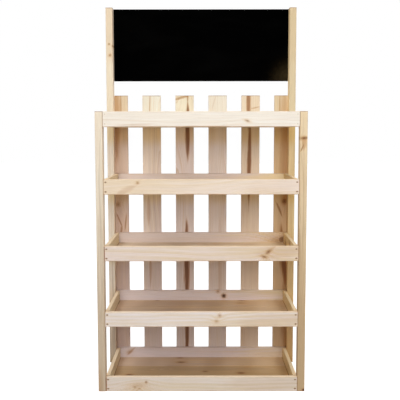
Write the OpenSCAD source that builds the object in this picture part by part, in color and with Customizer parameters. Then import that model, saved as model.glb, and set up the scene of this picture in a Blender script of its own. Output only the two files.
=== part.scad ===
// Shelf display stand in planed pine: five open trays between four posts,
// a back of upright slats, and a black header board above them.
// The front looks along -Y. The origin is on the floor, under the middle of the stand.

/* [Trays] */
// Length of a tray, left to right
tray_w = 900; // [600:10:1400]
// Depth of a tray, over its front and back boards
tray_d = 400; // [280:5:600]
// Height of the boards round a tray
board_h = 70; // [64:1:110]
// Thickness of the boards round a tray
board_t = 18; // [15:0.5:24]
// Height from one tray to the next
tray_pitch = 310; // [200:5:420]
// Number of trays
tray_count = 5; // [2:1:5]

/* [Tray bases] */
// Thickness of the three boards of a base
base_t = 18; // [12:0.5:22]
// Joint left open between two base boards
base_gap = 2; // [1:0.5:6]

/* [Posts] */
// Width of a post, seen from the front
post_w = 34; // [28:1:60]
// Depth of a post, front to back
post_d = 44; // [40:1:70]

/* [Slats] */
// Number of upright slats
slat_count = 6; // [3:1:8]
// Width of a slat
slat_w = 95; // [80:1:110]
// Thickness of a slat
slat_t = 18; // [12:0.5:24]
// Distance of the outer slats from the outer faces of the posts
slat_inset = 7; // [2:1:15]
// Height of the slats' feet above the floor
slat_lift = 5; // [2:1:40]
// Height of the slats' tops above the top tray
slat_rise = 95; // [20:5:200]

/* [Header board] */
// Height of the header board
header_h = 366; // [200:1:500]
// Thickness of the header board
header_t = 9; // [6:0.5:12]
// Radius of the header board's edges
header_arris = 1; // [0.5:0.25:2]
// Open height between the slats and the header board
header_gap = 74; // [20:1:200]

/* [Nails] */
// Diameter of a nail's shank
nail_d = 2.6; // [2:0.1:3]
// Diameter of a nail's head
nail_head_d = 5.5; // [4.5:0.1:6.5]
// Thickness of a nail's head
nail_head_t = 1; // [0.6:0.1:1.5]
// Depth that a corner nail reaches into the second board
nail_bite = 27; // [20:1:40]
// How far a corner nail stands inward of the middle of the side board's end
nail_off_middle = 2; // [0:0.5:3]
// Distance of a corner nail from the edge of its board
nail_from_edge = 13; // [9:0.5:16]
// Wood left between a base nail and the point of the corner nail that crosses it
base_nail_clear = 6; // [3:0.5:8]
// Wood left in front of a slat nail's point
slat_nail_cover = 2; // [1:0.5:5]
// Width between the two nails where a slat crosses a tray
slat_nail_spread = 60; // [50:1:66]
// Distance of a slat nail from the edge of the back board
slat_nail_from_edge = 20; // [18:1:26]

/* [Screws] */
// Diameter of a screw's shank
screw_d = 4; // [3:0.1:5]
// Diameter of a screw's head
screw_head_d = 8; // [7:0.1:9]
// Wood left between a screw's point and the outer face of the post
screw_cover = 7; // [4:0.5:12]
// Height of the lower screw of a tray corner above the base
screw_above_base = 13; // [10:0.5:16]
// Height of the upper corner nail above the upper screw of a tray corner
screw_below_nail = 8; // [7:0.5:10]
// Number of screws at each end of the header board
header_screws_per_end = 3; // [2:1:5]
// Distance of the end screws from the header board's top and bottom edges
header_screw_from_edge = 40; // [20:1:80]
// Depth that a header screw reaches into the post
header_screw_bite = 21; // [15:1:30]

/* [Finish and fits] */
// Radius of the eased edges of every planed board
arris = 2; // [1:0.25:3]
// Clearance round a nail or a screw in its hole
hole_gap = 0.05; // [0.02:0.01:0.2]

/* [Hidden] */
BASE_BOARDS = ["front", "middle", "rear"];

// Overall sizes
depth = tray_d + slat_t;
front_post_h = (tray_count - 1) * tray_pitch + board_h;
slat_top = front_post_h + slat_rise;
header_z = slat_top + header_gap;
rear_post_h = header_z + header_h;
back_w = tray_w + 2 * (post_w - slat_inset);

// Planes from the front to the rear
y_front = -depth / 2;
y_back = y_front + tray_d;

// The part of a tray inside its four boards
inner_w = tray_w - 2 * board_t;
inner_d = tray_d - 2 * board_t;
base_w = (inner_d - (len(BASE_BOARDS) - 1) * base_gap) / len(BASE_BOARDS);

// Lengths of the nails and screws
corner_nail_l = board_t + nail_bite;
slat_nail_l = slat_t + board_t - slat_nail_cover;
screw_l = board_t + post_w - screw_cover;
header_screw_l = header_t + header_screw_bite;

// Points of the nails and screws: their lengths, and the radius at the very tip
nail_point_l = 1.2 * nail_d;
screw_point_l = 1.5 * screw_d;
tip_r = 0.2;

// Countersunk head of a screw: its straight rim, and its cone of 45 degrees below that
screw_rim_h = 0.4;
screw_cone_h = (screw_head_d - screw_d) / 2;

// Distance of a corner's screws from the front or rear face of the tray:
// the middle of the strip where the post backs the side board
screw_from_face = (board_t + post_d) / 2;

// Heights of a corner's screws above the underside of the tray
screw_heights = [
    base_t + screw_above_base,
    board_h - nail_from_edge - screw_below_nail
];

// Distance of a corner nail from the end of its board
nail_from_end = board_t / 2 + nail_off_middle;

// Distance of a base nail from the edge of its base board: past the corner nails' points
base_nail_from_edge = nail_bite + base_nail_clear;

FINE = 32;
PINE = [0.87, 0.76, 0.6];
PINE_SHADE = [0.8, 0.68, 0.52];
BLACK = [0.05, 0.05, 0.05];
STEEL = [0.42, 0.4, 0.38];

// Name of a tray's piece
function tray(piece, t) = str("tray_", t, "_", piece);

// Underside of tray t, counted from the top
function tray_z(t) = (tray_count - t) * tray_pitch;

// Middle of slat s, counted from the left
function slat_x(s) = -back_w / 2 + slat_w / 2 + (s - 1) * (back_w - slat_w) / (slat_count - 1);

// Middle of base board b, counted from the front
function base_y(b) = y_front + board_t + base_w / 2 + b * (base_w + base_gap);

// Cross-section of a board with eased edges of radius r
module board_section(w, t, r = arris) {
    square([w - 2 * r, t], center = true);
    square([w, t - 2 * r], center = true);
    for (x = [-1, 1], y = [-1, 1])
        translate([x * (w / 2 - r), y * (t / 2 - r)])
            circle(r = r, $fn = FINE);
}

// A board that runs left to right, centred on the origin
module board_x(size, r = arris) {
    rotate([90, 0, 90])
        linear_extrude(height = size.x, center = true)
            board_section(size.y, size.z, r);
}

// A board that runs front to back, centred on the origin
module board_y(size) {
    rotate([90, 0, 0])
        linear_extrude(height = size.y, center = true)
            board_section(size.x, size.z);
}

// An upright board, centred over the origin and standing on it
module board_z(size) {
    linear_extrude(height = size.z)
        board_section(size.x, size.y);
}

// A nail that points down from a head flush with the plane z = 0.
// With a gap it is the hole for that nail.
module nail(l, gap = 0) {
    shank = nail_d / 2 + gap;
    head = nail_head_d / 2 + gap;
    rotate_extrude($fn = FINE)
        polygon([
            [0, -l - gap], [tip_r + gap, -l - gap], [shank, -l + nail_point_l],
            [shank, -nail_head_t - gap], [head, -nail_head_t - gap], [head, gap], [0, gap]
        ]);
}

// A countersunk screw that points down from a head flush with the plane z = 0.
// With a gap it is the hole for that screw.
module screw(l, gap = 0) {
    shank = screw_d / 2 + gap;
    head = screw_head_d / 2 + gap;
    rotate_extrude($fn = FINE)
        polygon([
            [0, -l - gap], [tip_r + gap, -l - gap], [shank, -l + screw_point_l],
            [shank, -screw_rim_h - screw_cone_h - gap], [head, -screw_rim_h - gap],
            [head, gap], [0, gap]
        ]);
}

// Corner nails: through the ends of the front board (face -1) or of the
// back board (face 1) into the end grain of the side boards
module at_corner_nails(t, faces = [-1, 1], sides = [-1, 1]) {
    for (face = faces, side = sides, z = [nail_from_edge, board_h - nail_from_edge])
        translate([
            side * (tray_w / 2 - nail_from_end),
            face < 0 ? y_front : y_back,
            tray_z(t) + z
        ])
            rotate([face < 0 ? 90 : -90, 0, 0]) children();
}

// Base nails: through a side board into the ends of the base boards
module at_base_nails(t, boards = [0:len(BASE_BOARDS) - 1], sides = [-1, 1]) {
    for (b = boards, side = sides, y = [-1, 1])
        translate([
            side * tray_w / 2,
            base_y(b) + y * (base_w / 2 - base_nail_from_edge),
            tray_z(t) + base_t / 2
        ])
            rotate([0, side * 90, 0]) children();
}

// Tray screws: from inside the tray, through a side board into the posts
module at_tray_screws(t, faces = [-1, 1], sides = [-1, 1]) {
    for (face = faces, side = sides, z = screw_heights)
        translate([
            side * inner_w / 2,
            (face < 0 ? y_front : y_back) - face * screw_from_face,
            tray_z(t) + z
        ])
            rotate([0, -side * 90, 0]) children();
}

// Slat nails: two where slat s crosses tray t, stepped so that they miss one grain line
module at_slat_nails(s, trays = [1:tray_count]) {
    turn = slat_x(s) < 0 ? 1 : -1;
    for (t = trays, x = [-1, 1])
        translate([
            slat_x(s) + x * slat_nail_spread / 2,
            y_back + slat_t,
            tray_z(t) + board_h / 2 + turn * x * (board_h / 2 - slat_nail_from_edge)
        ])
            rotate([-90, 0, 0]) children();
}

// Header screws: from behind, through the header board into the rear posts
module at_header_screws(sides = [-1, 1]) {
    step = (header_h - 2 * header_screw_from_edge) / (header_screws_per_end - 1);
    for (side = sides, n = [0:header_screws_per_end - 1])
        translate([
            side * (tray_w + post_w) / 2,
            y_back + header_t,
            header_z + header_screw_from_edge + n * step
        ])
            rotate([-90, 0, 0]) children();
}

// Front post: flush with the front boards, as high as the top tray
module front_post(side) {
    color(PINE) difference() {
        translate([side * (tray_w + post_w) / 2, y_front + post_d / 2, 0])
            board_z([post_w, post_d, front_post_h]);
        for (t = [1:tray_count])
            at_tray_screws(t, faces = [-1], sides = [side]) screw(screw_l, hole_gap);
    }
}

// Rear post: flush with the backs of the trays, and tall enough for the header board
module rear_post(side) {
    outer_slat = side < 0 ? 1 : slat_count;
    color(PINE) difference() {
        translate([side * (tray_w + post_w) / 2, y_back - post_d / 2, 0])
            board_z([post_w, post_d, rear_post_h]);
        for (t = [1:tray_count])
            at_tray_screws(t, faces = [1], sides = [side]) screw(screw_l, hole_gap);
        at_slat_nails(outer_slat) nail(slat_nail_l, hole_gap);
        at_header_screws(sides = [side]) screw(header_screw_l, hole_gap);
    }
}

// Front board: runs the whole length and covers the ends of the side boards
module tray_front_board(t) {
    color(PINE) difference() {
        translate([0, y_front + board_t / 2, tray_z(t) + board_h / 2])
            board_x([tray_w, board_t, board_h]);
        at_corner_nails(t, faces = [-1]) nail(corner_nail_l, hole_gap);
    }
}

// Back board: like the front one, with the slats nailed to it from behind
module tray_back_board(t) {
    color(PINE) difference() {
        translate([0, y_back - board_t / 2, tray_z(t) + board_h / 2])
            board_x([tray_w, board_t, board_h]);
        at_corner_nails(t, faces = [1]) nail(corner_nail_l, hole_gap);
        for (s = [1:slat_count])
            at_slat_nails(s, trays = [t]) nail(slat_nail_l, hole_gap);
    }
}

// Side board: stands between the front and back boards
module tray_side_board(t, side) {
    color(PINE_SHADE) difference() {
        translate([side * (tray_w - board_t) / 2, y_front + tray_d / 2, tray_z(t) + board_h / 2])
            board_y([board_t, inner_d, board_h]);
        at_corner_nails(t, sides = [side]) nail(corner_nail_l, hole_gap);
        at_base_nails(t, sides = [side]) nail(corner_nail_l, hole_gap);
        at_tray_screws(t, sides = [side]) screw(screw_l, hole_gap);
    }
}

// Base board: lies inside the four boards, flush with their lower edges
module tray_base_board(t, b) {
    color(PINE_SHADE) difference() {
        translate([0, base_y(b), tray_z(t) + base_t / 2])
            board_x([inner_w, base_w, base_t]);
        at_base_nails(t, boards = [b]) nail(corner_nail_l, hole_gap);
    }
}

// All the nails of one tray
module tray_nails(t) {
    color(STEEL) {
        at_corner_nails(t) nail(corner_nail_l);
        at_base_nails(t) nail(corner_nail_l);
    }
}

// All the screws that hold one tray to its posts
module tray_screws(t) {
    color(STEEL) at_tray_screws(t) screw(screw_l);
}

// Slat: nailed to every back board, and the outer ones to the rear posts too
module slat(s) {
    color(PINE_SHADE) difference() {
        translate([slat_x(s), y_back + slat_t / 2, slat_lift])
            board_z([slat_w, slat_t, slat_top - slat_lift]);
        at_slat_nails(s) nail(slat_nail_l, hole_gap);
    }
}

// All the nails of the slats
module slat_nails() {
    color(STEEL)
        for (s = [1:slat_count])
            at_slat_nails(s) nail(slat_nail_l);
}

// Header board: a plain writing board on the backs of the rear posts
module header_board() {
    color(BLACK) difference() {
        translate([0, y_back + header_t / 2, header_z + header_h / 2])
            board_x([back_w, header_t, header_h], header_arris);
        at_header_screws() screw(header_screw_l, hole_gap);
    }
}

// The screws of the header board
module header_screws() {
    color(STEEL) at_header_screws() screw(header_screw_l);
}

front_post(-1);  // front_post_left
front_post(1);  // front_post_right
rear_post(-1);  // rear_post_left
rear_post(1);  // rear_post_right
for (t = [1:tray_count]) {
    tray_front_board(t);
    tray_back_board(t);
    tray_side_board(t, -1);
    tray_side_board(t, 1);
    for (b = [0:len(BASE_BOARDS) - 1])
        tray_base_board(t, b);
    tray_nails(t);
    tray_screws(t);
}
for (s = [1:slat_count])
    slat(s);
slat_nails();
header_board();
header_screws();
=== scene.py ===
import math

import bmesh
import bpy
from mathutils import Euler, Matrix, Vector


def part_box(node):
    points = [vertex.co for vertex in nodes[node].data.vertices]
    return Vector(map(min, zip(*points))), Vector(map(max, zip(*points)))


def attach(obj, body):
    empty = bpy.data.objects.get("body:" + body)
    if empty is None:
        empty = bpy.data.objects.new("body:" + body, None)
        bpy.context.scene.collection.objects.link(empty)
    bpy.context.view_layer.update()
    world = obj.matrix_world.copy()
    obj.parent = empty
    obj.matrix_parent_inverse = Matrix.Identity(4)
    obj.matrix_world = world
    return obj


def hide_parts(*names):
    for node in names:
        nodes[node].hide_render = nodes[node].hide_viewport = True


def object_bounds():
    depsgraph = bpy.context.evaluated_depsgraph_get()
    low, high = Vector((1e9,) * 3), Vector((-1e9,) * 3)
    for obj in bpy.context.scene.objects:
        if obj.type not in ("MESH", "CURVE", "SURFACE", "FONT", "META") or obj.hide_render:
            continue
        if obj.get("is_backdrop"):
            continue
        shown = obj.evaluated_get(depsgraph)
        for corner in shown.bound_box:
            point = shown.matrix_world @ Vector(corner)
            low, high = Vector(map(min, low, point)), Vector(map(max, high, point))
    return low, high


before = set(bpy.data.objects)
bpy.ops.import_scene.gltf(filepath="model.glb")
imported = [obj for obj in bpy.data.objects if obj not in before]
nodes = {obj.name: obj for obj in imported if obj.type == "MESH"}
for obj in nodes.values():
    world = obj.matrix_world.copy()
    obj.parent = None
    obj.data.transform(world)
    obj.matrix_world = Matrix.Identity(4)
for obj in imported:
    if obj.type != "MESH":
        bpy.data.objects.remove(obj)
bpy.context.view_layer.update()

# Front boards of the trays
# Planed pine, 70 by 18 mm, as long as the tray. Each covers the ends of its side boards and
# is nailed to them. The shader groups made here, for pine and for what grows in it, serve
# every board of the stand.


def linear(red, green, blue):
    """A colour as screens name it, 0 to 255, in the form that a shader takes."""
    steps = [c / 255 for c in (red, green, blue)]
    return tuple(c / 12.92 if c < 0.04045 else ((c + 0.055) / 1.055) ** 2.4 for c in steps) + (1.0,)


def place(tree, kind, sockets=None, **settings):
    """Puts a node in a tree. A socket given as a value is linked, anything else is set."""
    made = tree.nodes.new(kind)
    for name, value in settings.items():
        setattr(made, name, value)
    for name, value in (sockets or {}).items():
        if isinstance(value, bpy.types.NodeSocket):
            tree.links.new(value, made.inputs[name])
        else:
            made.inputs[name].default_value = value
    return made


def calc(tree, operation, *values, clamp=False):
    """A Math node's result."""
    made = place(tree, "ShaderNodeMath", dict(enumerate(values)), operation=operation, use_clamp=clamp)
    return made.outputs[0]


def hypotenuse(tree, a, b):
    """The distance that two offsets at right angles make."""
    return calc(tree, "SQRT", calc(tree, "ADD", calc(tree, "MULTIPLY", a, a), calc(tree, "MULTIPLY", b, b)))


def around_zero(tree, value, width):
    """A value that lies between 0 and 1, brought to that width with its middle at 0."""
    return calc(tree, "MULTIPLY_ADD", value, width, -width / 2)


def rise(tree, value, start, end):
    """0 at start, 1 at end, and a smooth way between."""
    made = place(tree, "ShaderNodeMapRange", {"Value": value, "From Min": start, "From Max": end},
                 interpolation_type="SMOOTHSTEP")
    return made.outputs["Result"]


def ramp(tree, factor, *stops):
    """The colour, or grey value, that a ramp gives between its stops."""
    made = place(tree, "ShaderNodeValToRGB", {"Fac": factor})
    band = made.color_ramp
    while len(band.elements) < len(stops):
        band.elements.new(1.0)
    for element, (position, value) in zip(band.elements, stops):
        element.position = position
        element.color = value if isinstance(value, tuple) else (value, value, value, 1.0)
    return made.outputs["Color"]


def tint(tree, factor, a, b, blend="MIX"):
    """Two colours mixed."""
    sockets = {0: factor, 6: a, 7: b}
    return place(tree, "ShaderNodeMix", sockets, data_type="RGBA", blend_type=blend).outputs[2]


def parts(tree, vector):
    """A vector's X, Y and Z."""
    return place(tree, "ShaderNodeSeparateXYZ", {0: vector}).outputs


def drawn_out(tree, vector, scale, detail, rough=0.5):
    """Noise that is drawn out along the grain. The scale is per metre: along, across and deep."""
    stretched = place(tree, "ShaderNodeMapping", {"Vector": vector, "Scale": scale}).outputs[0]
    sockets = {"Vector": stretched, "Scale": 1.0, "Detail": detail, "Roughness": rough}
    return place(tree, "ShaderNodeTexNoise", sockets).outputs


def group(name, inputs, outputs):
    """A node group with named sockets. Gives its tree, its inputs and its output node."""
    tree = bpy.data.node_groups.new(name, "ShaderNodeTree")
    for side, sockets in (("INPUT", inputs), ("OUTPUT", outputs)):
        for label, kind in sockets.items():
            tree.interface.new_socket(label, in_out=side, socket_type="NodeSocket" + kind)
    return tree, tree.nodes.new("NodeGroupInput").outputs, tree.nodes.new("NodeGroupOutput")


def put_out(tree, exit_node, results):
    """Links what a group has found to its outputs."""
    for label, socket in results.items():
        tree.links.new(socket, exit_node.inputs[label])


def make_knot_group():
    """A knot that comes to the face of a board. It adds itself to the knots before it."""
    tree, g, made = group(
        "Knot",
        {"Board": "Vector", "Along": "Float", "Across": "Float", "Radius": "Float", "Stretch": "Float",
         "Lean": "Float", "Strength": "Float", "Push": "Float", "Mark": "Float"},
        {"Push": "Float", "Mark": "Float"},
    )
    part = parts(tree, g["Board"])
    from_x = calc(tree, "SUBTRACT", part["X"], g["Along"])
    from_y = calc(tree, "SUBTRACT", part["Y"], g["Across"])
    cosine = calc(tree, "COSINE", g["Lean"])
    sine = calc(tree, "SINE", g["Lean"])
    along = calc(tree, "MULTIPLY_ADD", from_y, sine, calc(tree, "MULTIPLY", from_x, cosine))
    along = calc(tree, "DIVIDE", along, g["Stretch"])
    across = calc(tree, "MULTIPLY", from_y, cosine)
    across = calc(tree, "SUBTRACT", across, calc(tree, "MULTIPLY", from_x, sine))

    # The distance from its middle, in radii of the knot, which isn't quite round
    out_of_round = 0.6
    wobble = place(tree, "ShaderNodeTexNoise", {"Vector": g["Board"], "Scale": 110.0, "Detail": 3.0})
    wobble = calc(tree, "MULTIPLY_ADD", wobble.outputs["Fac"], out_of_round, 1.0 - out_of_round / 2)
    distance = calc(tree, "DIVIDE", hypotenuse(tree, along, across), g["Radius"])
    distance = calc(tree, "MULTIPLY", distance, wobble)
    squared = calc(tree, "MULTIPLY", distance, distance)

    # It is dark, with fine rings of its own, and pushes the board's rings aside around it
    dark_fade, push_fade, push_depth = -0.7, -0.13, 1.2
    own_rings, ring_depth = 13.0, 0.1
    ringed = calc(tree, "SINE", calc(tree, "MULTIPLY", distance, own_rings))
    ringed = calc(tree, "MULTIPLY_ADD", ringed, ring_depth, 1.0 - ring_depth / 2)
    mark = calc(tree, "EXPONENT", calc(tree, "MULTIPLY", squared, dark_fade))
    mark = calc(tree, "MULTIPLY", calc(tree, "MULTIPLY", mark, g["Strength"]), ringed)
    swell = calc(tree, "EXPONENT", calc(tree, "MULTIPLY", squared, push_fade))
    swell = calc(tree, "MULTIPLY", swell, g["Radius"])
    put_out(tree, made, {"Push": calc(tree, "MULTIPLY_ADD", swell, push_depth, g["Push"]),
                         "Mark": calc(tree, "MAXIMUM", g["Mark"], mark)})
    return tree


def make_streak_group():
    """A streak of darker wood, such as heartwood or resin, that comes to the face and tapers out."""
    tree, g, made = group(
        "Streak",
        {"Board": "Vector", "Along": "Float", "Across": "Float", "Half Length": "Float",
         "Half Width": "Float", "Lean": "Float", "Strength": "Float", "Streak": "Float"},
        {"Streak": "Float"},
    )
    part = parts(tree, g["Board"])
    along = calc(tree, "SUBTRACT", part["X"], g["Along"])
    across = calc(tree, "SUBTRACT", part["Y"], g["Across"])
    across = calc(tree, "SUBTRACT", across, calc(tree, "MULTIPLY", along, g["Lean"]))

    # It sways from side to side, runs to a point at its ends, and has sides of torn fibres
    sway_width, torn_width, point = 0.9, 0.7, 2.2
    outside, full = -0.1, 0.75
    sway = drawn_out(tree, g["Board"], (7.0, 70.0, 70.0), 3.0)["Fac"]
    sway = calc(tree, "MULTIPLY", around_zero(tree, sway, sway_width), g["Half Width"])
    across = calc(tree, "DIVIDE", calc(tree, "ADD", across, sway), g["Half Width"])
    along = calc(tree, "ABSOLUTE", calc(tree, "DIVIDE", along, g["Half Length"]))
    inside = calc(tree, "SUBTRACT", 1.0, calc(tree, "POWER", along, point))
    inside = calc(tree, "SUBTRACT", inside, calc(tree, "ABSOLUTE", across))
    torn = drawn_out(tree, g["Board"], (16.0, 420.0, 420.0), 2.0)["Fac"]
    inside = calc(tree, "ADD", inside, around_zero(tree, torn, torn_width))
    streak = calc(tree, "MULTIPLY", rise(tree, inside, outside, full), g["Strength"])
    put_out(tree, made, {"Streak": calc(tree, "MAXIMUM", g["Streak"], streak)})
    return tree


STREAK_TONES = [
    (0.0, 1.0), (0.3, linear(226, 204, 182)), (0.65, linear(176, 140, 112)), (1.0, linear(142, 104, 78)),
]
KNOT_TONES = [
    (0.0, 1.0), (0.15, linear(250, 244, 235)), (0.36, linear(228, 210, 190)), (0.5, linear(190, 166, 142)),
    (0.57, linear(146, 121, 99)), (0.68, linear(164, 136, 111)), (0.8, linear(110, 88, 72)),
    (1.0, linear(52, 42, 38)),
]
FIBRE_TONES = [(0.3, 0.9), (0.5, 1.0), (0.7, 1.05)]
YEAR_TONES = [(0.0, 0.0), (0.5, 0.12), (0.84, 1.0), (0.93, 0.85), (1.0, 0.0)]
GOLDEN_SHADE = linear(250, 234, 184)
EDGE_HIGHLIGHT = linear(255, 233, 200)
HANDLED = linear(234, 220, 202)
END_GRAIN_AND_JOINT_SHADE = linear(190, 166, 142)


def make_pine_group():
    """Planed pine cut from a log: rings round a pith, fibres along it, end grain and worn arrises."""
    tree, g, made = group(
        "Planed pine",
        {"Board": "Vector", "Half Size": "Vector", "Pith": "Vector", "Ring Width": "Float",
         "Seed": "Float", "Pale": "Color", "Warm": "Color", "Turn": "Float", "Turn At": "Float",
         "Lit Top": "Float", "Lit Top Tone": "Color", "Golden Shade": "Float", "Edge Highlight": "Float",
         "Late Wood": "Color", "Figure": "Float", "Push": "Float", "Mark": "Float", "Streak": "Float"},
        {"Color": "Color", "Roughness": "Float", "Height": "Float"},
    )
    seeds = {"X": g["Seed"], "Y": calc(tree, "MULTIPLY", g["Seed"], 0.37)}
    drift = place(tree, "ShaderNodeCombineXYZ", seeds).outputs[0]
    spot = place(tree, "ShaderNodeVectorMath", {0: g["Board"], 1: drift}, operation="ADD").outputs[0]
    part = parts(tree, g["Board"])
    pith = parts(tree, g["Pith"])

    def noise(scale, detail, rough=0.5):
        return drawn_out(tree, spot, scale, detail, rough)

    def year_noise(year, scale, detail):
        sockets = {"W": year, "Scale": scale, "Detail": detail}
        return place(tree, "ShaderNodeTexNoise", sockets, noise_dimensions="1D").outputs["Fac"]

    # Rings: the trunk was never straight, so the pith wanders over the length of a board, and the
    # rings ripple. No year is as wide as the next, and late wood ends each one sharply
    wander_across, wander_deep, ripple_depth, uneven_years = 0.05, 0.06, 0.006, 1.6
    wander = parts(tree, noise((1.6, 2.5, 2.5), 1.0)["Color"])
    across = calc(tree, "SUBTRACT", part["Y"], pith["Y"])
    across = calc(tree, "SUBTRACT", across, calc(tree, "MULTIPLY", part["X"], pith["X"]))
    across = calc(tree, "ADD", across, around_zero(tree, wander["X"], wander_across))
    deep = calc(tree, "SUBTRACT", part["Z"], pith["Z"])
    deep = calc(tree, "ADD", deep, around_zero(tree, wander["Y"], wander_deep))
    radius = calc(tree, "ADD", hypotenuse(tree, across, deep), g["Push"])
    ripple = around_zero(tree, noise((7.0, 22.0, 22.0), 2.0)["Fac"], ripple_depth)
    years = calc(tree, "DIVIDE", calc(tree, "ADD", radius, ripple), g["Ring Width"])
    uneven = year_noise(calc(tree, "ADD", years, g["Seed"]), 0.45, 1.0)
    years = calc(tree, "MULTIPLY_ADD", uneven, uneven_years, years)
    late = ramp(tree, calc(tree, "FRACT", years), *YEAR_TONES)
    band = year_noise(calc(tree, "MULTIPLY", years, 0.35), 1.0, 2.0)

    # Colour: broad drifts from pale to warm, rings, fibres, resin flecks, streaks and knots
    broad, narrow, banded, least_golden_shade = 0.4, 0.35, 0.35, 0.35
    most_pale, most_warm = 0.4, 0.7
    cloud = calc(tree, "ADD", calc(tree, "MULTIPLY", noise((2.0, 12.0, 12.0), 2.0)["Fac"], broad),
                 calc(tree, "MULTIPLY", noise((2.4, 75.0, 75.0), 3.0)["Fac"], narrow))
    fibre = noise((14.0, 950.0, 950.0), 3.0, 0.6)["Fac"]
    from_turn = calc(tree, "SUBTRACT", part["X"], g["Turn At"])
    warmth = calc(tree, "MULTIPLY_ADD", band, banded, cloud)
    warmth = calc(tree, "MULTIPLY_ADD", from_turn, g["Turn"], warmth)
    wood = tint(tree, rise(tree, warmth, most_pale, most_warm), g["Pale"], g["Warm"])
    # Painted light and shade: above the top tray the front takes the lit top tone, and just under each tray
    # it is multiplied towards gold, a golden painted shade
    wood = tint(tree, g["Lit Top"], wood, g["Lit Top Tone"])
    golden_shade = calc(tree, "MULTIPLY", g["Golden Shade"], calc(tree, "ADD", cloud, least_golden_shade), clamp=True)
    wood = tint(tree, golden_shade, wood, GOLDEN_SHADE, "MULTIPLY")
    patch_depth, patch_least, knot_figure = 1.3, 0.35, 60.0
    patch = rise(tree, noise((2.6, 24.0, 24.0), 1.0)["Fac"], 0.3, 0.7)
    patch = calc(tree, "MULTIPLY_ADD", patch, patch_depth, patch_least)
    rings = calc(tree, "MULTIPLY", calc(tree, "MULTIPLY", late, g["Figure"]), patch)
    near_knot = calc(tree, "MULTIPLY_ADD", g["Push"], knot_figure, 1.0)
    rings = calc(tree, "MULTIPLY", rings, near_knot, clamp=True)
    wood = tint(tree, rings, wood, g["Late Wood"])
    wood = tint(tree, 1.0, wood, ramp(tree, fibre, *FIBRE_TONES), "MULTIPLY")
    fleck_depth, fleck_start, fleck_full = 0.35, 0.66, 0.78
    fleck = rise(tree, noise((55.0, 900.0, 900.0), 1.0)["Fac"], fleck_start, fleck_full)
    wood = tint(tree, calc(tree, "MULTIPLY", fleck, fleck_depth), wood, g["Late Wood"], "MULTIPLY")
    fibre_depth = 0.3
    fibrous = calc(tree, "MULTIPLY_ADD", fibre, fibre_depth, 1.0 - fibre_depth / 2)
    streak = calc(tree, "MULTIPLY", g["Streak"], fibrous, clamp=True)
    wood = tint(tree, 1.0, wood, ramp(tree, streak, *STREAK_TONES), "MULTIPLY")
    wood = tint(tree, 1.0, wood, ramp(tree, g["Mark"], *KNOT_TONES), "MULTIPLY")

    # Wear and painted light: the narrow edges get a pale warm painted highlight, arrises are handled,
    # and the sawn ends are darker end grain, with painted shade over the last few millimetres of the
    # faces for the dark line at each joint. Near an arris, two of the three distances to the board's
    # faces are small. The reaches are in metres, from where each begins to where it is full
    arris_reach, end_reach, edge_reach = (0.003, 0.0005), (0.004, 0.0006), (0.0012, 0.0002)
    half = parts(tree, g["Half Size"])
    to_end, to_edge, to_face = [
        calc(tree, "SUBTRACT", half[axis], calc(tree, "ABSOLUTE", part[axis])) for axis in "XYZ"]
    second = calc(tree, "MINIMUM", calc(tree, "MAXIMUM", to_end, to_edge), to_face)
    second = calc(tree, "MAXIMUM", calc(tree, "MINIMUM", to_end, to_edge), second)
    handled = noise((40.0, 160.0, 160.0), 3.0)["Fac"]
    arris = calc(tree, "MULTIPLY", rise(tree, second, *arris_reach), handled)
    end = rise(tree, to_end, *end_reach)
    # Painted highlight: a pale warm tone on the narrow edges and the first 1.2 mm of the faces beside them
    edge = calc(tree, "MULTIPLY", rise(tree, to_edge, *edge_reach), g["Edge Highlight"])
    wood = tint(tree, edge, wood, EDGE_HIGHLIGHT)
    wood = tint(tree, arris, wood, HANDLED, "MULTIPLY")
    # Darker end grain at the sawn ends, and painted shade over the last 4 mm of the faces for the dark line
    # at each joint
    wood = tint(tree, end, wood, END_GRAIN_AND_JOINT_SHADE, "MULTIPLY")

    # Surface: late wood is the smoother and stands a little proud, fibres are felt, the planer's
    # knives left a mark every 2.9 mm, and knots sink in a little
    least_rough, fibre_rough, late_rough, end_rough = 0.5, 0.22, -0.07, 0.15
    fibre_height, late_height, knot_height, knife_height, knife_marks = 0.6, 0.3, -0.4, 0.025, 2200.0
    rough = calc(tree, "MULTIPLY_ADD", fibre, fibre_rough, least_rough)
    rough = calc(tree, "ADD", rough, calc(tree, "MULTIPLY", late, late_rough))
    rough = calc(tree, "MULTIPLY_ADD", end, end_rough, rough)
    knives = calc(tree, "SINE", calc(tree, "MULTIPLY", part["X"], knife_marks))
    height = calc(tree, "ADD", calc(tree, "MULTIPLY", fibre, fibre_height),
                  calc(tree, "MULTIPLY", late, late_height))
    height = calc(tree, "MULTIPLY_ADD", knives, knife_height, height)
    height = calc(tree, "MULTIPLY_ADD", g["Mark"], knot_height, height)
    put_out(tree, made, {"Color": wood, "Roughness": rough, "Height": height})
    return tree


knot_group = make_knot_group()
streak_group = make_streak_group()
pine_group = make_pine_group()
GRAIN = {"x": ("X", "Z", "Y"), "y": ("Y", "Z", "X"), "z": ("Z", "X", "Y"), "flat": ("X", "Y", "Z")}


def board_place(tree, node_name, grain):
    """Where a point lies in its board, from the board's middle: along the grain, across it, deep."""
    low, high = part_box(node_name)
    seat = place(tree, "ShaderNodeTexCoord").outputs["Object"]
    centred = place(tree, "ShaderNodeVectorMath", {0: seat, 1: (low + high) / 2}, operation="SUBTRACT")
    part = parts(tree, centred.outputs[0])
    board = place(tree, "ShaderNodeCombineXYZ", {i: part[axis] for i, axis in enumerate(GRAIN[grain])})
    size = {axis: (high - low)["XYZ".index(axis)] / 2 for axis in "XYZ"}
    return board.outputs[0], [size[axis] for axis in GRAIN[grain]]


def dress(node_name, material):
    """Gives a CAD node its material."""
    nodes[node_name].material_slots[0].material = material


BOARD_HEIGHT = 0.07
TOP_TRAY_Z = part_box("tray_1_front_board")[0].z
PITCH = TOP_TRAY_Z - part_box("tray_2_front_board")[0].z


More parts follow.
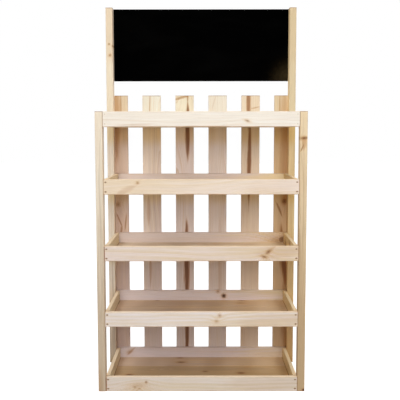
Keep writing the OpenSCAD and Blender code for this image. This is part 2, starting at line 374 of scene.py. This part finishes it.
def shade_under_trays(tree, height):
    """Where golden painted shade falls: 1 at the underside of a tray, fading out over a hand's width below
    it and sooner above.
    """
    hand, finger = 0.115, 0.045
    above = calc(tree, "MULTIPLY", calc(tree, "FRACT", calc(tree, "DIVIDE", height, PITCH)), PITCH)
    below = calc(tree, "SUBTRACT", PITCH, above)
    near = calc(tree, "MAXIMUM", rise(tree, below, hand, finger), rise(tree, above, finger, 0.0))
    return calc(tree, "MULTIPLY", near, rise(tree, height, TOP_TRAY_Z + finger, TOP_TRAY_Z))


def pine(node_name, grain, seed, tones, turn=0.0, turn_at=0.0, pith=(0.0, 0.07, 0.05), rings=0.003,
         figure=0.35, edge_highlight=0.0, knots=(), streaks=(), lit_top_tone=None):
    """A board's own pine, from a pale tone to a warm one, which turn moves along the board. Knots
    are along, across, radius, stretch, lean and strength. Streaks are along, across, half length,
    half width, lean and strength. With a lit top tone, the front face has that tone above the top
    tray, which is painted light, and golden painted shade just under each tray."""
    made = bpy.data.materials.new(node_name + "_pine")
    made.use_nodes = True
    tree = made.node_tree
    shader = tree.nodes["Principled BSDF"]
    shader.inputs["Specular IOR Level"].default_value = 0.3
    board, half = board_place(tree, node_name, grain)
    push, mark, streak = 0.0, 0.0, 0.0
    for along, across, radius, stretch, lean, strength in knots:
        grown = place(tree, "ShaderNodeGroup", {
            "Board": board, "Along": along, "Across": across, "Radius": radius, "Stretch": stretch,
            "Lean": lean, "Strength": strength, "Push": push, "Mark": mark,
        }, node_tree=knot_group).outputs
        push, mark = grown["Push"], grown["Mark"]
    for along, across, half_length, half_width, lean, strength in streaks:
        streak = place(tree, "ShaderNodeGroup", {
            "Board": board, "Along": along, "Across": across, "Half Length": half_length,
            "Half Width": half_width, "Lean": lean, "Strength": strength, "Streak": streak,
        }, node_tree=streak_group).outputs["Streak"]
    # Painted light above the top tray and golden painted shade under each tray, on the front face only
    lit_top, golden_shade = 0.0, 0.0
    if lit_top_tone:
        begins, full = -0.7, -0.9
        height = parts(tree, place(tree, "ShaderNodeTexCoord").outputs["Object"])["Z"]
        front = rise(tree, parts(tree, board)["Z"], begins * half[2], full * half[2])
        lit = rise(tree, height, TOP_TRAY_Z - 0.005, TOP_TRAY_Z + BOARD_HEIGHT)
        lit_top = calc(tree, "MULTIPLY", lit, front)
        golden_shade = calc(tree, "MULTIPLY", shade_under_trays(tree, height), front)
    wood = place(tree, "ShaderNodeGroup", {
        "Board": board, "Half Size": half, "Pith": pith, "Ring Width": rings, "Seed": seed,
        "Pale": tones[0], "Warm": tones[1], "Turn": turn, "Turn At": turn_at, "Lit Top": lit_top,
        "Lit Top Tone": lit_top_tone or tones[0], "Golden Shade": golden_shade, "Edge Highlight": edge_highlight,
        "Late Wood": LATE_WOOD, "Figure": figure, "Push": push, "Mark": mark, "Streak": streak,
    }, node_tree=pine_group).outputs
    relief = place(tree, "ShaderNodeBump",
                   {"Height": wood["Height"], "Strength": 0.25, "Distance": 0.0004}).outputs["Normal"]
    tree.links.new(wood["Color"], shader.inputs["Base Color"])
    tree.links.new(wood["Roughness"], shader.inputs["Roughness"])
    tree.links.new(relief, shader.inputs["Normal"])
    dress(node_name, made)


LATE_WOOD = linear(212, 180, 138)
TRAYS = range(1, 6)
FRONT_TONES = {
    1: (linear(243, 236, 225), linear(237, 226, 210)),
    2: (linear(239, 223, 209), linear(233, 213, 186)),
    3: (linear(233, 217, 208), linear(224, 202, 171)),
    4: (linear(239, 229, 225), linear(230, 212, 187)),
    5: (linear(230, 218, 210), linear(221, 205, 180)),
}
FRONT_TURNS = {1: 0.0, 2: -0.3, 3: 0.15, 4: 0.2, 5: 0.05}
FRONT_KNOTS = {
    1: [(0.209, -0.008, 0.0055, 2.4, -0.3, 0.55)],
    2: [(-0.292, 0.019, 0.0065, 1.1, 0.0, 0.5)],
    3: [(0.309, 0.009, 0.0085, 2.0, 0.75, 0.56), (0.290, -0.014, 0.0070, 2.2, -0.25, 0.55),
        (0.303, -0.016, 0.005, 1.6, 0.2, 0.3)],
    4: [(0.085, 0.019, 0.0080, 1.1, 0.0, 0.48), (0.070, -0.008, 0.0095, 1.1, 0.0, 0.4)],
    5: [(-0.260, 0.010, 0.0065, 1.1, 0.0, 0.55), (-0.313, -0.014, 0.0065, 1.5, 0.1, 0.48),
        (-0.292, -0.021, 0.006, 1.6, 0.0, 0.42), (-0.302, -0.010, 0.020, 1.8, 0.15, 0.26)],
}
# The last streak of trays 3 and 5 is painted shade: a dark line down the left end of the board, where it
# meets the post
FRONT_STREAKS = {
    1: [(-0.30, -0.026, 0.12, 0.008, 0.03, 0.1)],
    2: [(-0.345, -0.014, 0.060, 0.020, 0.42, 0.14), (0.33, 0.0, 0.16, 0.06, 0.1, 0.05)],
    3: [(0.327, 0.022, 0.030, 0.014, 0.9, 0.2), (0.36, 0.01, 0.14, 0.05, 0.1, 0.1),
        (-0.449, 0.0, 0.004, 0.12, 0.0, 0.55)],
    4: [(0.33, -0.01, 0.20, 0.06, 0.05, 0.1)],
    5: [(0.30, 0.0, 0.24, 0.06, 0.02, 0.08), (-0.449, 0.0, 0.006, 0.12, 0.0, 0.6)],
}
# The lower arris carries a painted shade line, darker than the face; the crushed fibres round the nails are
# darker too
LOWER_ARRIS_SHADE = (0.0, -0.035, 0.9, 0.004, 0.0, 0.45)
NAIL_BRUISES = [(x, y, 0.0070, 0.0050, 0.0, 0.6) for x in (-0.439, 0.439) for y in (-0.022, 0.022)]
FRONT_PITHS = {
    1: (0.01, 0.09, 0.05),
    2: (0.05, -0.07, 0.06),
    3: (-0.02, 0.08, 0.07),
    4: (0.02, -0.09, 0.05),
    5: (0.01, 0.10, 0.04),
}
for tray in TRAYS:
    bruises = [] if tray == 1 else NAIL_BRUISES
    seed = 3.1 + 4.9 * tray
    pine(f"tray_{tray}_front_board", "x", seed, FRONT_TONES[tray], turn=FRONT_TURNS[tray],
         pith=FRONT_PITHS[tray], figure=0.24, edge_highlight=0.65, knots=FRONT_KNOTS[tray],
         streaks=FRONT_STREAKS[tray] + [LOWER_ARRIS_SHADE] + bruises)

# Back boards of the trays
# The same boards as in front. The slats are nailed to them from behind, so only their inner
# faces and top edges show.
BACK_TONES = {
    1: (linear(236, 222, 206), linear(230, 212, 190)),
    2: (linear(231, 217, 212), linear(245, 224, 181)),
    3: (linear(230, 215, 209), linear(237, 219, 185)),
    4: (linear(229, 217, 218), linear(218, 199, 165)),
    5: (linear(228, 215, 216), linear(227, 209, 187)),
}
BACK_KNOTS = {
    3: [(0.424, -0.002, 0.019, 1.2, 0.9, 0.66), (0.398, -0.010, 0.030, 1.5, 0.3, 0.38)],
    4: [(0.119, 0.006, 0.0105, 1.0, 0.0, 1.0), (0.088, 0.029, 0.0075, 1.2, 0.0, 0.52)],
    5: [(-0.385, 0.012, 0.010, 1.6, 0.5, 0.4)],
}
BACK_STREAKS = {
    5: [(-0.376, 0.014, 0.026, 0.012, 0.9, 0.25)],
}
for tray in TRAYS:
    seed = 31.0 + 5.3 * tray
    pine(f"tray_{tray}_back_board", "x", seed, BACK_TONES[tray], turn=0.7, turn_at=0.3,
         pith=(0.01 * (tray - 3), 0.08 * (-1) ** tray, -0.06), knots=BACK_KNOTS.get(tray, ()),
         streaks=BACK_STREAKS.get(tray, ()))

# Side boards of the trays
# Cut from the same 70 by 18 mm pine and set between the front and back boards, with their
# sawn ends behind them.
# Painted light: the side boards have paler tones than the other boards, for the light from the sides that
# reaches them between the posts
SIDE_TONES = {
    "left": (linear(250, 235, 203), linear(241, 222, 183)),
    "right": (linear(250, 229, 178), linear(241, 214, 156)),
}
SIDE_KNOTS = {
    (3, "right"): [(0.105, -0.008, 0.016, 2.2, 0.3, 0.55), (-0.035, 0.016, 0.010, 2.6, 0.2, 0.45)],
}
# How much of the painted edge highlight each side's narrow edges get
SIDE_EDGE_HIGHLIGHTS = {"left": 0.8, "right": 0.5}
SIDE_SEEDS = {"left": 1.9, "right": 0.0}
for tray in TRAYS:
    for side in ("left", "right"):
        seed = 61.0 + 3.7 * tray + SIDE_SEEDS[side]
        pine(f"tray_{tray}_{side}_side", "y", seed, SIDE_TONES[side],
             pith=(0.02, 0.08 * (-1) ** tray, 0.05), edge_highlight=SIDE_EDGE_HIGHLIGHTS[side],
             knots=SIDE_KNOTS.get((tray, side), ()))

# Base boards of the trays
# Three wider boards lie inside the four, with narrow joints between them, and are nailed
# through the side boards.
# Painted shade: the bases of trays 3 to 5 have darker tones, the lower the darker, for the shade under the
# trays above them, and their turn lightens them towards the right end, where that shade is lighter
BASE_TONES = {
    1: (linear(236, 216, 186), linear(226, 202, 166)),
    2: (linear(236, 216, 186), linear(226, 202, 166)),
    3: (linear(217, 196, 173), linear(236, 211, 174)),
    4: (linear(200, 172, 146), linear(218, 186, 147)),
    5: (linear(189, 158, 119), linear(205, 170, 120)),
}
ODD_BASE_TONES = {
    (5, "rear"): (linear(207, 181, 158), linear(217, 187, 148)),
}
BASE_KNOTS = {
    (4, "rear"): [(0.215, 0.046, 0.008, 3.0, 0.0, 0.6), (-0.233, 0.052, 0.006, 2.4, 0.0, 0.55),
                  (0.205, 0.005, 0.014, 1.8, 0.0, 0.4)],
    (5, "rear"): [(-0.113, 0.048, 0.007, 3.0, 0.0, 0.6), (-0.107, -0.012, 0.011, 2.0, 0.0, 0.56)],
    (5, "middle"): [(0.018, -0.010, 0.009, 1.6, 0.0, 0.52), (0.197, -0.030, 0.012, 1.7, 0.0, 0.58),
                    (-0.357, -0.050, 0.010, 2.0, 0.0, 0.62)],
}
for tray in TRAYS:
    for number, where in enumerate(("front", "middle", "rear")):
        tones = ODD_BASE_TONES.get((tray, where), BASE_TONES[tray])
        seed = 83.0 + 4.1 * tray + 1.3 * number
        pine(f"tray_{tray}_base_{where}", "flat", seed, tones, turn=0.4,
             pith=(0.01, 0.09 * (number - 1) + 0.02, -0.05), rings=0.0036,
             knots=BASE_KNOTS.get((tray, where), ()))

# Nails
# Bright wire nails with flat chequered heads, dulled by handling. Two at each end hold the
# boards of a tray, and one at each edge of a base board. The top tray's are given a much paler copy of the
# steel, painted light for the strong light on that tray.
CHEQUER_PITCH = 0.0007
GRIME_ROUGH = 0.35


def steel(name, clean, dull, polish, chequer):
    """Steel that grime dulls in patches, with as much of a nail head's chequer as is given."""
    made = bpy.data.materials.new(name)
    made.use_nodes = True
    tree = made.node_tree
    shader = tree.nodes["Principled BSDF"]
    shader.inputs["Metallic"].default_value = 0.6
    seat = place(tree, "ShaderNodeTexCoord").outputs["Object"]
    patches = {"Vector": seat, "Scale": 700.0, "Detail": 3.0}
    grime = place(tree, "ShaderNodeTexNoise", patches).outputs["Fac"]
    tree.links.new(ramp(tree, grime, (0.35, clean), (0.68, dull)), shader.inputs["Base Color"])
    tree.links.new(calc(tree, "MULTIPLY_ADD", grime, GRIME_ROUGH, polish), shader.inputs["Roughness"])
    waves = [calc(tree, "SINE", calc(tree, "MULTIPLY", part, 2 * math.pi / CHEQUER_PITCH))
             for part in parts(tree, seat)]
    waffle = calc(tree, "ADD", calc(tree, "ADD", waves[0], waves[1]), waves[2])
    height = calc(tree, "MULTIPLY_ADD", waffle, chequer, grime)
    relief = place(tree, "ShaderNodeBump", {"Height": height, "Strength": 0.4, "Distance": 0.0002})
    tree.links.new(relief.outputs["Normal"], shader.inputs["Normal"])
    return made


nail_steel = steel("wire_nail_steel", linear(150, 128, 106), linear(88, 68, 52),
                   polish=0.35, chequer=0.3)
# A paler copy of the nail steel: painted light for the top tray's nails
lit_nail_steel = steel("wire_nail_steel_painted_light", linear(236, 224, 206), linear(186, 170, 148),
                     polish=0.35, chequer=0.3)
for tray in TRAYS:
    dress(f"tray_{tray}_nails", lit_nail_steel if tray == 1 else nail_steel)

# Posts
# Planed 34 by 44 mm pine. The front pair ends level with the top tray, and the rear pair
# rises to the top of the header board.
# Painted shade: each post's turn darkens it towards its foot as the light falls off near the floor, the
# lowest streak on three of the posts and the right front post's second knot, a dark spot at its foot,
# darken their feet, and the rear posts take a lit top tone above the top tray, painted light, with golden
# painted shade under each tray
pine("front_post_left", "z", 110.1, (linear(238, 225, 204), linear(201, 182, 158)), turn=-0.3,
     pith=(0.004, 0.06, 0.03), streaks=[(-0.655, -0.017, 0.16, 0.030, 0.0, 0.18)])
pine("front_post_right", "z", 115.7, (linear(232, 210, 173), linear(188, 160, 124)), turn=-0.3,
     turn_at=0.2, pith=(-0.004, -0.06, 0.03),
     knots=[(0.533, 0.002, 0.007, 3.2, 1.5, 0.62), (-0.648, 0.012, 0.006, 1.0, 0.0, 0.95)],
     streaks=[(0.510, 0.002, 0.040, 0.016, 0.0, 0.28), (0.490, -0.006, 0.022, 0.005, 0.45, 0.55)])
pine("rear_post_left", "z", 121.4, (linear(252, 238, 220), linear(196, 177, 157)), turn=-0.6,
     turn_at=-0.55, pith=(0.003, -0.05, 0.03), lit_top_tone=linear(237, 223, 198),
     knots=[(0.740, -0.001, 0.0045, 1.2, 0.0, 0.62), (0.731, 0.017, 0.004, 1.2, 0.0, 0.55),
            (0.684, 0.003, 0.0065, 1.2, 0.0, 0.58)],
     streaks=[(0.82, 0.0, 0.20, 0.06, 0.0, 0.10), (-0.62, 0.0, 0.12, 0.06, 0.0, 0.12)])
pine("rear_post_right", "z", 127.9, (linear(245, 219, 168), linear(217, 182, 128)), turn=-0.35,
     pith=(0.003, 0.06, 0.03), lit_top_tone=linear(218, 201, 164),
     streaks=[(0.82, 0.0, 0.20, 0.06, 0.0, 0.08), (-0.86, 0.0, 0.22, 0.06, 0.0, 0.16)])

# Screws of the trays
# Countersunk wood screws with cross recesses, driven from inside each tray through its side
# boards into the posts, two to a post. Their heads are flush with the boards.

# In millimetres: the recess is half an arm's width, its reach and its level, and the profile is
# radius and level, from the head's rim to the shank
SCREW_RECESS = [(0.4, 0.75, -1.7), (0.5, 1.7, -0.35), (0.62, 2.1, 0.0)]
SCREW_PROFILE = [(4.0, 0.0), (4.0, -0.4), (2.0, -2.4)]
SHANK_RADIUS = 2.0
POINT_LENGTH = 6.0
POINT_RADIUS = 0.25
RECESS_ANGLES = [-45.0, -35.0, -24.0, -15.0, -7.0, 0.0, 7.0, 15.0, 24.0, 35.0]


def cross_recess(angle, half_arm, reach):
    """How far a cross with arms of that half width and reach extends at an angle from an arm."""
    turn = math.radians(abs(angle))
    if math.tan(turn) <= half_arm / reach:
        return reach / math.cos(turn)
    return half_arm / math.sin(turn)


def add_screw(mesh, seat, direction, length):
    """A screw whose head lies at the seat, in metres, and whose point lies along the direction."""
    angles = [quarter * 90.0 + angle for quarter in range(4) for angle in RECESS_ANGLES]
    turned = Vector(direction).to_track_quat("-Z", "Y").to_matrix().to_4x4()
    where = Matrix.Translation(Vector(seat)) @ turned @ Matrix.Scale(0.001, 4)

    def ring(reach, level):
        spots = []
        for i, angle in enumerate(angles):
            away = reach(RECESS_ANGLES[i % len(RECESS_ANGLES)]) if callable(reach) else reach
            turn = math.radians(angle)
            spots.append(Vector((away * math.cos(turn), away * math.sin(turn), level)))
        return [mesh.verts.new(where @ spot) for spot in spots]

    rings = [ring(lambda angle, a=half_arm, r=reach: cross_recess(angle, a, r), level)
             for half_arm, reach, level in SCREW_RECESS]
    rings += [ring(reach, level) for reach, level in SCREW_PROFILE]
    rings += [ring(SHANK_RADIUS, -length + POINT_LENGTH), ring(POINT_RADIUS, -length)]
    for inner, outer in zip(rings, rings[1:]):
        for i in range(len(angles)):
            j = (i + 1) % len(angles)
            mesh.faces.new((inner[i], outer[i], outer[j], inner[j]))
    mesh.faces.new(rings[0])
    mesh.faces.new(reversed(rings[-1]))


def screws(node_name, seats, length, material):
    """Screws, as long as given in millimetres, that stand for a CAD node's plain ones."""
    mesh = bmesh.new()
    for seat, direction in seats:
        add_screw(mesh, seat, direction, length)
    bmesh.ops.recalc_face_normals(mesh, faces=mesh.faces)
    data = bpy.data.meshes.new(node_name + "_cross_head")
    mesh.to_mesh(data)
    mesh.free()
    data.materials.append(material)
    piece = bpy.data.objects.new(node_name + "_cross_head", data)
    bpy.context.scene.collection.objects.link(piece)
    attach(piece, "root")
    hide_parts(node_name)


screw_steel = steel("zinc_plated_steel", linear(168, 156, 132), linear(104, 92, 72),
                    polish=0.25, chequer=0.0)
TRAY_SCREW_LENGTH = 45.0
TRAY_INSIDE = 0.432
POST_MIDDLES = (-0.178, 0.160)
SCREW_HEIGHTS = (0.031, 0.049)
for tray in TRAYS:
    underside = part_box(f"tray_{tray}_left_side")[0].z
    seats = [((side * TRAY_INSIDE, y, underside + up), (side, 0, 0))
             for side in (-1, 1) for y in POST_MIDDLES for up in SCREW_HEIGHTS]
    screws(f"tray_{tray}_screws", seats, TRAY_SCREW_LENGTH, screw_steel)

# Slats
# Six 95 by 18 mm boards stand behind the trays, nailed to every back board, and the outer
# ones to the rear posts too. Two of them were cut near the pith and show its dark heart.
SLATS = range(1, 7)
SLAT_TONES = {
    1: (linear(234, 210, 193), linear(219, 195, 187)),
    2: (linear(247, 232, 217), linear(225, 208, 202)),
    3: (linear(241, 227, 222), linear(227, 214, 211)),
    4: (linear(236, 223, 216), linear(229, 215, 208)),
    5: (linear(231, 214, 193), linear(224, 203, 183)),
    6: (linear(227, 196, 153), linear(209, 177, 139)),
}
# Lit tones for the slats' front faces above the top tray: painted light. Just under each tray the slats
# also get golden painted shade.
SLAT_LIT_TOPS = {
    1: linear(228, 210, 180),
    2: linear(234, 231, 216),
    3: linear(233, 226, 203),
    4: linear(231, 225, 210),
    5: linear(230, 215, 191),
    6: linear(226, 208, 175),
}
SLAT_KNOTS = {
    1: [(0.132, -0.008, 0.013, 1.2, 0.0, 0.5)],
    3: [(0.700, 0.014, 0.008, 1.0, 0.0, 0.5)],
    6: [(0.148, 0.008, 0.016, 1.1, 0.0, 0.62)],
}
SLAT_STREAKS = {
    1: [(0.62, -0.014, 0.34, 0.030, 0.0, 0.34), (0.65, 0.0115, 0.10, 0.005, 0.0, 0.35),
        (0.049, -0.0026, 0.044, 0.0065, -0.42, 0.42), (0.036, 0.031, 0.056, 0.006, 0.1, 0.4),
        (-0.004, 0.008, 0.030, 0.007, 0.1, 0.36)],
    2: [(-0.155, -0.0125, 0.035, 0.010, 0.0, 0.42), (-0.21, -0.0125, 0.12, 0.011, 0.0, 0.26),
        (0.66, -0.009, 0.08, 0.004, 0.03, 0.3),
        (0.10, -0.020, 0.10, 0.012, 0.0, 0.2)],
    3: [(0.518, 0.0155, 0.175, 0.0165, 0.0, 1.0), (0.688, 0.016, 0.03, 0.007, 0.0, 0.4),
        (-0.20, 0.0085, 0.28, 0.0175, 0.0, 1.0), (-0.55, 0.0095, 0.30, 0.0115, 0.0, 1.0),
        (0.688, -0.020, 0.017, 0.030, 2.5, 0.42)],
    4: [(0.66, -0.020, 0.05, 0.005, 0.3, 0.1), (-0.20, 0.012, 0.30, 0.012, 0.0, 0.14)],
    5: [(0.70, -0.0105, 0.22, 0.0145, 0.0, 0.62), (0.36, -0.0060, 0.28, 0.0130, 0.01, 0.9),
        (0.637, 0.024, 0.008, 0.022, 3.0, 0.25)],
    6: [(0.43, 0.006, 0.38, 0.034, 0.0, 0.22), (0.105, -0.019, 0.050, 0.008, -0.4, 0.45),
        (-0.15, 0.006, 0.20, 0.027, -0.08, 0.7), (0.64, -0.020, 0.09, 0.006, 0.0, 0.25),
        (-0.40, 0.020, 0.40, 0.030, 0.0, 0.3)],
}
for slat in SLATS:
    seed = 140.0 + 6.7 * slat
    pine(f"slat_{slat}", "z", seed, SLAT_TONES[slat], turn=-0.3,
         pith=(0.006 * (slat - 3), 0.05 * (-1) ** slat, 0.05), rings=0.0034,
         knots=SLAT_KNOTS.get(slat, ()), streaks=SLAT_STREAKS.get(slat, ()), lit_top_tone=SLAT_LIT_TOPS[slat])
dress("slat_nails", nail_steel)

# Header board
# Fibreboard with a matt black writing face, screwed to the backs of the rear posts. The
# paint ends on the edges, and a brownish patch near the lower right corner is a painted reflection.


def writing_board():
    """Matt black paint, a little clouded by wiping, over brown fibreboard that shows behind."""
    made = bpy.data.materials.new("writing_board_paint")
    made.use_nodes = True
    tree = made.node_tree
    shader = tree.nodes["Principled BSDF"]
    shader.inputs["Specular IOR Level"].default_value = 0.004
    board = board_place(tree, "header_board", "x")[0]
    wiped = place(tree, "ShaderNodeMapping", {"Vector": board, "Scale": (3.0, 7.0, 7.0)})
    cloud = place(tree, "ShaderNodeTexNoise", {"Vector": wiped.outputs[0], "Scale": 1.0, "Detail": 5.0,
                                               "Distortion": 0.6}).outputs["Fac"]
    grit = place(tree, "ShaderNodeTexNoise", {"Vector": board, "Scale": 1400.0, "Detail": 2.0})
    matted = place(tree, "ShaderNodeTexNoise", {"Vector": board, "Scale": 260.0, "Detail": 6.0,
                                                "Roughness": 0.7}).outputs["Fac"]
    most_chalk, most_reflection = 0.008, 0.14
    paint_ends, all_bare = 0.0015, 0.0028
    chalky = ramp(tree, cloud, (0.45, 0.0), (0.8, most_chalk))
    paint = tint(tree, chalky, linear(1, 1, 1), linear(110, 108, 104))
    # Painted reflection: a faint brownish patch near the lower right corner
    reflection_smudge = place(tree, "ShaderNodeGroup", {
        "Board": board, "Along": 0.44, "Across": -0.155, "Radius": 0.042, "Stretch": 1.3, "Lean": 0.9,
        "Strength": 1.0, "Push": 0.0, "Mark": 0.0,
    }, node_tree=knot_group).outputs["Mark"]
    paint = tint(tree, calc(tree, "MULTIPLY", reflection_smudge, most_reflection), paint, linear(128, 108, 74))
    fibreboard = ramp(tree, matted, (0.3, linear(116, 84, 56)), (0.7, linear(158, 122, 86)))
    bare = rise(tree, parts(tree, board)["Z"], paint_ends, all_bare)
    colour = tint(tree, bare, paint, fibreboard)
    height = calc(tree, "ADD", grit.outputs["Fac"], matted)
    relief = place(tree, "ShaderNodeBump", {"Height": height, "Strength": 0.15, "Distance": 0.0002})
    tree.links.new(colour, shader.inputs["Base Color"])
    tree.links.new(calc(tree, "MULTIPLY_ADD", cloud, 0.15, 0.75), shader.inputs["Roughness"])
    tree.links.new(relief.outputs["Normal"], shader.inputs["Normal"])
    return made


dress("header_board", writing_board())
HEADER_SCREW_LENGTH = 30.0
REAR_POST_MIDDLE = 0.467
HEADER_SCREW_HEIGHTS = (0.040, 0.183, 0.326)
low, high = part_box("header_board")
seats = [((side * REAR_POST_MIDDLE, high.y, low.z + up), (0, -1, 0))
         for side in (-1, 1) for up in HEADER_SCREW_HEIGHTS]
screws("header_screws", seats, HEADER_SCREW_LENGTH, screw_steel)

# Floor
# A plain pale floor that keeps the stand's soft shadow. Light Path makes it white to the eye
# while it throws no more light on the object.


def to_eye(tree):
    """1 for what the camera sees, directly or in a reflection, and 0 for light on the object."""
    light = place(tree, "ShaderNodeLightPath").outputs
    seen = calc(tree, "MAXIMUM", light["Is Camera Ray"], light["Is Glossy Ray"])
    return calc(tree, "MAXIMUM", seen, light["Is Transmission Ray"])


FLOOR_SIDE = 40.0
FLOOR_GLOW = 0.86
bpy.ops.mesh.primitive_plane_add(size=FLOOR_SIDE)
floor = bpy.context.object
floor.name = "floor"
floor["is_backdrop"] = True
floor_paint = bpy.data.materials.new("pale_floor")
floor_paint.use_nodes = True
floor_tree = floor_paint.node_tree
floor_shader = floor_tree.nodes["Principled BSDF"]
floor_shader.inputs["Base Color"].default_value = (0.6, 0.6, 0.6, 1.0)
floor_shader.inputs["Roughness"].default_value = 0.9
floor_shader.inputs["Specular IOR Level"].default_value = 0.1
floor_shader.inputs["Emission Color"].default_value = (1.0, 1.0, 1.0, 1.0)
floor_glow = calc(floor_tree, "MULTIPLY", to_eye(floor_tree), FLOOR_GLOW)
floor_tree.links.new(floor_glow, floor_shader.inputs["Emission Strength"])
floor.data.materials.append(floor_paint)

# Light
# An even pale surround and five square softboxes: one in front, a weak one high above it, one
# at each side, which reach between the posts, and one behind, which serves the other views.
SURROUND = 0.25
LAMP_TARGET = Vector((0.0, 0.0, 1.0))
LAMP_DISTANCE = 3.6
world = bpy.data.worlds.new("studio")
bpy.context.scene.world = world
world.use_nodes = True
world_tree = world.node_tree
surround = world_tree.nodes["Background"]
surround.inputs["Color"].default_value = (1.0, 1.0, 1.0, 1.0)
world_tree.links.new(calc(world_tree, "MULTIPLY_ADD", to_eye(world_tree), 1.0 - SURROUND, SURROUND),
                     surround.inputs["Strength"])


def softbox(name, azimuth, elevation, side, watts):
    """A square lamp that faces the stand. Azimuth 0 is in front, 90 on the right."""
    turned, up = math.radians(azimuth), math.radians(elevation)
    away = Vector((math.sin(turned) * math.cos(up), -math.cos(turned) * math.cos(up), math.sin(up)))
    lamp = bpy.data.lights.new(name, "AREA")
    lamp.shape = "SQUARE"
    lamp.size = side
    lamp.energy = watts
    made = bpy.data.objects.new(name, lamp)
    made.location = LAMP_TARGET + away * LAMP_DISTANCE
    made.rotation_euler = (-away).to_track_quat("-Z", "Y").to_euler()
    bpy.context.scene.collection.objects.link(made)


softbox("softbox_front", azimuth=0.0, elevation=15.0, side=1.6, watts=53.5)
softbox("softbox_above", azimuth=0.0, elevation=58.0, side=1.5, watts=14.0)
softbox("softbox_left", azimuth=-65.0, elevation=48.0, side=1.5, watts=45.0)
softbox("softbox_right", azimuth=65.0, elevation=34.0, side=1.5, watts=38.0)
softbox("softbox_rear", azimuth=165.0, elevation=40.0, side=1.5, watts=22.0)

# Camera
# It looks straight at the stand from just under the top tray, turned down a little. Its lens
# is shifted so that the stand fills the frame from foot to header.
PHOTO_SIDE = 400
FOCAL_PX = 594.2
AXIS_PX = 178.0
CAMERA_SEAT = Vector((-0.0037, -2.9185, 1.2147))
TILT, PAN, ROLL = 0.0767, 0.0008, 0.0012
lens = bpy.data.cameras.new("camera")
lens.sensor_width = 36.0
lens.lens = lens.sensor_width * FOCAL_PX / PHOTO_SIDE
lens.shift_y = -(PHOTO_SIDE / 2 - AXIS_PX) / PHOTO_SIDE
camera = bpy.data.objects.new("camera", lens)
turn = Euler((math.pi / 2 - TILT, 0.0, PAN)).to_matrix().to_4x4() @ Matrix.Rotation(-ROLL, 4, "Z")
camera.matrix_world = Matrix.Translation(CAMERA_SEAT) @ turn
bpy.context.scene.collection.objects.link(camera)
bpy.context.scene.camera = camera
bpy.context.scene.view_settings.view_transform = "Standard"

low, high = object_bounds()
